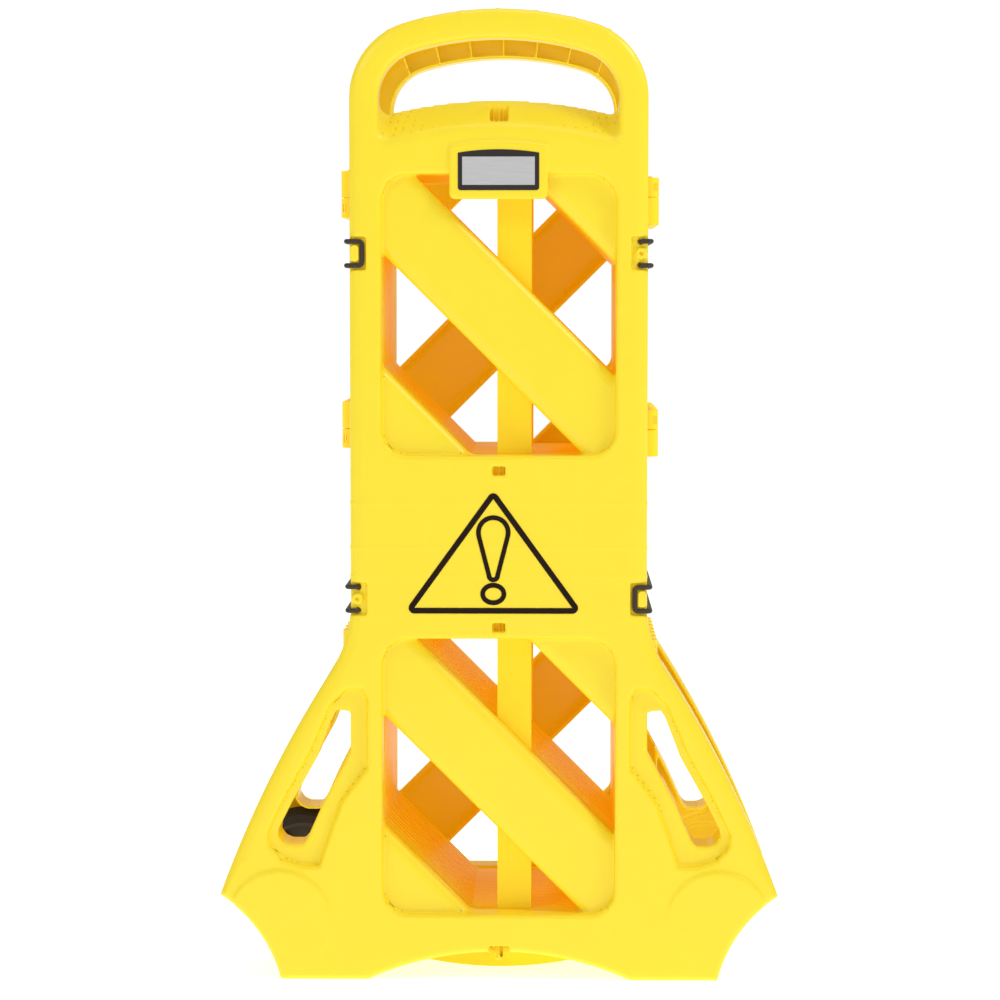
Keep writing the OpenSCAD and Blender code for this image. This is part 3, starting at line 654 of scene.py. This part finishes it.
panel_count = 12
panel_edge_r = 0.0010
half_link_edge_r = 0.0008
for number in range(1, panel_count + 1):
    source = f"panel_{number:02d}"
    dress(eased(f"panel_shell_{number:02d}", source, panel_edge_r), panel_yellow, source,
          "panel_plastic", source)
for source in ("half_link_front", "half_link_rear"):
    dress(eased(source + "_shell", source, half_link_edge_r), panel_yellow, source,
          "panel_plastic", source)

# ---- Hinge pins ----
# Short pins, taken to be acetal, snap down through the knuckles. One node holds the four pins of
# one hinge line, and there is a line at each end of every panel and half link.
def paint(source, material):
    """Gives its material to a CAD node that is shown as it is."""
    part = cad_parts[source]
    part.data.materials.clear()
    part.data.materials.append(material)


for number in range(panel_count + 3):
    paint(f"hinge_pins_{number:02d}", pin_yellow)

# ---- Printed warning sign and blank label ----
# The triangle is printed in matt black-brown ink. The label is a laminated plate with a dark
# border and a plain silver field, with nothing written on it.
ink = moulded("sign_ink", (0.014, 0.005, 0.002), roughness=0.6, cloud=0.2, grain_depth=0.15,
              specular=0.15)
for end in ("front", "rear"):
    paint("sign_" + end, ink)

laminate = bpy.data.materials.new("label_laminate")
laminate.use_nodes = True
tree = laminate.node_tree
where = node(tree, "TexCoord").outputs["Object"]
parts = node(tree, "SeparateXYZ", Vector=where)
label_low, label_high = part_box("label_front")
field_half_w = (label_high.x - label_low.x) / 2 - 0.0045
field_half_h = 0.0145
middle = (label_low.z + label_high.z) / 2 - 0.001
across = calc(tree, "SUBTRACT", calc(tree, "ABSOLUTE", parts.outputs["X"]), field_half_w)
up = calc(tree, "SUBTRACT", parts.outputs["Z"], middle)
up = calc(tree, "SUBTRACT", calc(tree, "ABSOLUTE", up), field_half_h)
rim = calc(tree, "GREATER_THAN", calc(tree, "MAXIMUM", across, up), 0.0)
brushed = node(tree, "TexNoise", Vector=node(tree, "Mapping", Vector=where,
                                             Scale=(40, 40, 2600)).outputs[0], Scale=1.0)
silver = node(tree, "ValToRGB", Fac=brushed.outputs["Fac"])
silver.color_ramp.elements[0].color = (0.42, 0.42, 0.43, 1)
silver.color_ramp.elements[1].color = (0.62, 0.62, 0.63, 1)
print_mix = node(tree, "Mix", {"data_type": "RGBA"}, _0=rim)
tree.links.new(silver.outputs[0], print_mix.inputs[6])
print_mix.inputs[7].default_value = (0.014, 0.009, 0.008, 1)
shader = tree.nodes["Principled BSDF"]
tree.links.new(print_mix.outputs[2], shader.inputs["Base Color"])
shader.inputs["Roughness"].default_value = 0.22
shader.inputs["Coat Weight"].default_value = 0.4
paint("label_front", laminate)

# ---- Elastic loops ----
# Four loops of black braided elastic hold the folded barrier shut. Each is threaded through two
# holes in one stand and hooks over a tab on the other. The braid runs round the cord as a helix.
cord_d = 0.0052
braid_strands = 8
braid_pitch = 0.006
braid = bpy.data.materials.new("black_braid")
braid.use_nodes = True
tree = braid.node_tree
uv = node(tree, "TexCoord").outputs["UV"]
parts = node(tree, "SeparateXYZ", Vector=uv)
heights = []
for way in (1.0, -1.0):
    turn = calc(tree, "MULTIPLY", parts.outputs["X"], way * braid_strands)
    run = calc(tree, "ADD", turn, parts.outputs["Y"])
    heights.append(calc(tree, "SINE", calc(tree, "MULTIPLY", run, 2 * math.pi)))
weave = calc(tree, "MULTIPLY", *heights)
shade = node(tree, "MapRange", Value=weave, From_Min=-1.0, From_Max=1.0, To_Min=0.0, To_Max=1.0)
# The weave height also sets the colour: the raised strands are lighter, and the low crossings
# between them are painted darker, as shade.
painted_weave_shade = node(tree, "ValToRGB", Fac=shade.outputs[0])
painted_weave_shade.color_ramp.elements[0].color = (0.010, 0.006, 0.004, 1)
painted_weave_shade.color_ramp.elements[1].color = (0.045, 0.030, 0.022, 1)
bump = node(tree, "Bump", Strength=0.8, Distance=0.0004, Height=shade.outputs[0])
shader = tree.nodes["Principled BSDF"]
tree.links.new(painted_weave_shade.outputs[0], shader.inputs["Base Color"])
tree.links.new(bump.outputs[0], shader.inputs["Normal"])
shader.inputs["Roughness"].default_value = 0.62
shader.inputs["Sheen Weight"].default_value = 0.15


def tube(name, points, radius, sides):
    """A round tube along the points, with its own map: once round, and along by braid pitches."""
    route = [Vector(p) for p in points]
    ways = [(route[min(i + 1, len(route) - 1)] - route[max(i - 1, 0)]).normalized()
            for i in range(len(route))]
    across = ways[0].orthogonal().normalized()
    work = bmesh.new()
    uv_layer = work.loops.layers.uv.new("UVMap")
    rings, runs, run = [], [], 0.0
    for i, (at, way) in enumerate(zip(route, ways)):
        across = (across - way * across.dot(way)).normalized()
        other = way.cross(across)
        rings.append([work.verts.new(at + radius * (math.cos(2 * math.pi * j / sides) * across
                                                    + math.sin(2 * math.pi * j / sides) * other))
                      for j in range(sides)])
        run += (at - route[i - 1]).length if i else 0.0
        runs.append(run / braid_pitch)
    for i in range(len(rings) - 1):
        for j in range(sides):
            k = (j + 1) % sides
            face = work.faces.new((rings[i][j], rings[i + 1][j], rings[i + 1][k], rings[i][k]))
            marks = ((j, i), (j, i + 1), (j + 1, i + 1), (j + 1, i))
            for loop, (u, v) in zip(face.loops, marks):
                loop[uv_layer].uv = (u / sides, runs[v])
            face.smooth = True
    work.faces.new(rings[0])
    work.faces.new(rings[-1][::-1])
    bmesh.ops.recalc_face_normals(work, faces=work.faces)
    mesh = bpy.data.meshes.new(name)
    work.to_mesh(mesh)
    work.free()
    piece = bpy.data.objects.new(name, mesh)
    scene.collection.objects.link(piece)
    return piece


bend_steps = 6
bend_r = 0.0042
cord_off = 0.0034
knot_deep = 0.014
end_gap = 0.001
arm_x, turn_x = 0.1583, 0.142
cord_sides = 14


def smooth_route(points, radius):
    """Rounds each corner of a route with a short curve of points."""
    route = [Vector(points[0])]
    for before, at, after in zip(points, points[1:], points[2:]):
        before, at, after = Vector(before), Vector(at), Vector(after)
        cut = min(radius, (at - before).length * 0.49, (after - at).length * 0.49)
        a = at + (before - at).normalized() * cut
        b = at + (after - at).normalized() * cut
        for i in range(bend_steps + 1):
            t = i / bend_steps
            route.append(a * (1 - t) ** 2 + at * 2 * t * (1 - t) + b * t * t)
    route.append(Vector(points[-1]))
    return route


def loop_route(total):
    """One elastic loop on a stand's +X side: depth runs back from that stand's face."""
    near, far, rise = cord_off, total - cord_off, anchor_rise
    inside = near + knot_deep
    arm = [(anchor_x, inside, end_gap / 2), (anchor_x, inside, rise), (anchor_x, near, rise),
           (arm_x, near, rise), (arm_x, total / 2, rise), (arm_x, far, rise), (turn_x, far, rise)]
    back = [(x, y, -z) for x, y, z in reversed(arm)]
    return smooth_route(arm + back, bend_r)


total_t = -2 * face_y
for height_name, height_z in (("upper", loop_z[0]), ("lower", loop_z[1])):
    for end in ("front", "rear"):
        piece = tube(f"elastic_loop_{height_name}_{end}", loop_route(total_t), cord_d / 2,
                     cord_sides)
        place = Matrix.Translation((0, face_y, height_z))
        if height_name == "lower":
            place = place @ Matrix.Scale(-1, 4, (1, 0, 0))
        if end == "rear":
            place = Matrix.Rotation(math.pi, 4, "Z") @ place
        piece.data.transform(place)
        if height_name == "lower":
            piece.data.flip_normals()
        dress(piece, braid, "stand_" + end, "elastic", f"elastic_{height_name}_{end}")
        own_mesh(piece)

# ---- Wheel ----
# One 132 mm wheel sits in one leg box of the rear stand, the left one from the front: a rubber tyre
# on a plastic hub, with a plain bush that turns on a steel axle held by a push-on cap.
rubber = moulded("tyre_rubber", (0.018, 0.014, 0.012), roughness=0.62, cloud=0.3, grain_depth=0.4,
                 specular=0.3)
hub_black = moulded("hub_plastic", (0.03, 0.027, 0.025), roughness=0.42, cloud=0.15)
natural = moulded("bush_plastic", (0.66, 0.62, 0.5), roughness=0.35)
zinc = moulded("zinc_steel", (0.62, 0.62, 0.6), roughness=0.24, cloud=0.12, grain_depth=0.03)
zinc.node_tree.nodes["Principled BSDF"].inputs["Metallic"].default_value = 1.0
for source, material in (("wheel_hub", hub_black), ("wheel_bush", natural), ("wheel_axle", zinc),
                         ("wheel_cap", zinc)):
    paint(source, material)

tyre_low, tyre_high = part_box("wheel_tyre")
tyre_r = (tyre_high.z - tyre_low.z) / 2
tyre_w = tyre_high.y - tyre_low.y
tyre_mid = (tyre_low + tyre_high) / 2
bore_r = tyre_r - 0.014
half_tyre = tyre_w / 2
shoulder_in, shoulder_deep = 0.004, 0.005
tread_fall = 0.001
groove_y = (-0.009, -0.003, 0.003, 0.009)
groove_deep, groove_mouth, groove_floor = 0.0018, 0.0019, 0.0009
tyre_steps = 96
profile = [(bore_r, -half_tyre), (tyre_r - shoulder_deep, -half_tyre),
           (tyre_r - tread_fall, shoulder_in - half_tyre)]
for at in groove_y:
    profile += [(tyre_r, at - groove_mouth), (tyre_r - groove_deep, at - groove_floor),
                (tyre_r - groove_deep, at + groove_floor), (tyre_r, at + groove_mouth)]
profile += [(tyre_r - tread_fall, half_tyre - shoulder_in), (tyre_r - shoulder_deep, half_tyre),
            (bore_r, half_tyre)]
work = bmesh.new()
rings = []
for i in range(tyre_steps):
    a = 2 * math.pi * i / tyre_steps
    rings.append([work.verts.new((tyre_mid.x + r * math.cos(a), tyre_mid.y + y,
                                  tyre_mid.z + r * math.sin(a))) for r, y in profile])
for i in range(tyre_steps):
    ring, following = rings[i], rings[(i + 1) % tyre_steps]
    for j in range(len(profile)):
        k = (j + 1) % len(profile)
        work.faces.new((ring[j], ring[k], following[k], following[j]))
bmesh.ops.recalc_face_normals(work, faces=work.faces)
tyre_mesh = bpy.data.meshes.new("grooved_tyre")
work.to_mesh(tyre_mesh)
work.free()
tyre = bpy.data.objects.new("grooved_tyre", tyre_mesh)
scene.collection.objects.link(tyre)
tyre_mesh.shade_smooth()
tyre_mesh.set_sharp_from_angle(angle=math.radians(40))
dress(tyre, rubber, "wheel", "tyre", "wheel_tyre")
